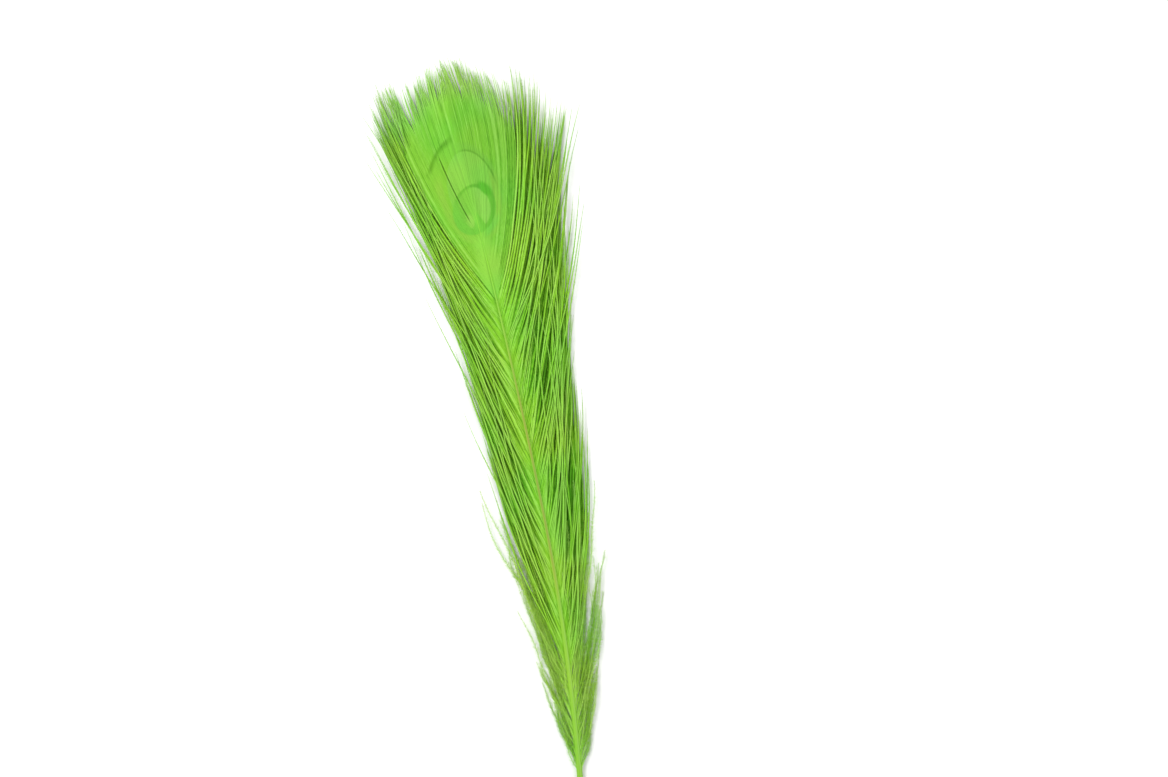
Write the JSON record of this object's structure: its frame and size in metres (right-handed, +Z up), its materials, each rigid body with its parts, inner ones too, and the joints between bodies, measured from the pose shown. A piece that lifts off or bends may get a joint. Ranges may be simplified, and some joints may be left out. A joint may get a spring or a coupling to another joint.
{
  "type": "peacock eye feather",
  "caption": "Loose dyed peacock eye feather lying flat: a bent shaft with soft fluff, long open herl and a closed round eye on each side.",
  "frame": {"origin": "centre of the feather's footprint, on the surface that it lies on", "axes": "+Y along the shaft from its cut end to the eye, +X to the right as the front is seen, +Z up out of the feather's front"},
  "size_m": [0.0952, 0.4006, 0.004],
  "materials": {
    "shaft_horn": "smooth waxy horn (keratin), bleached and dyed lime over straw tan",
    "fluff": "soft downy barbs, pale lime, matt",
    "herl": "long loose barbs edged with short barbules, dyed lime green, satin",
    "eye": "closed vane of barbs with the faint rings of a bleached eye, dyed lime green, satin"
  },
  "bodies": {
    "root": {"shaft": "shaft_horn", "fluff_left": "fluff", "fluff_right": "fluff", "herl_left": "herl", "herl_right": "herl", "eye_left": "eye", "eye_right": "eye"}
  },
  "joints": []
}
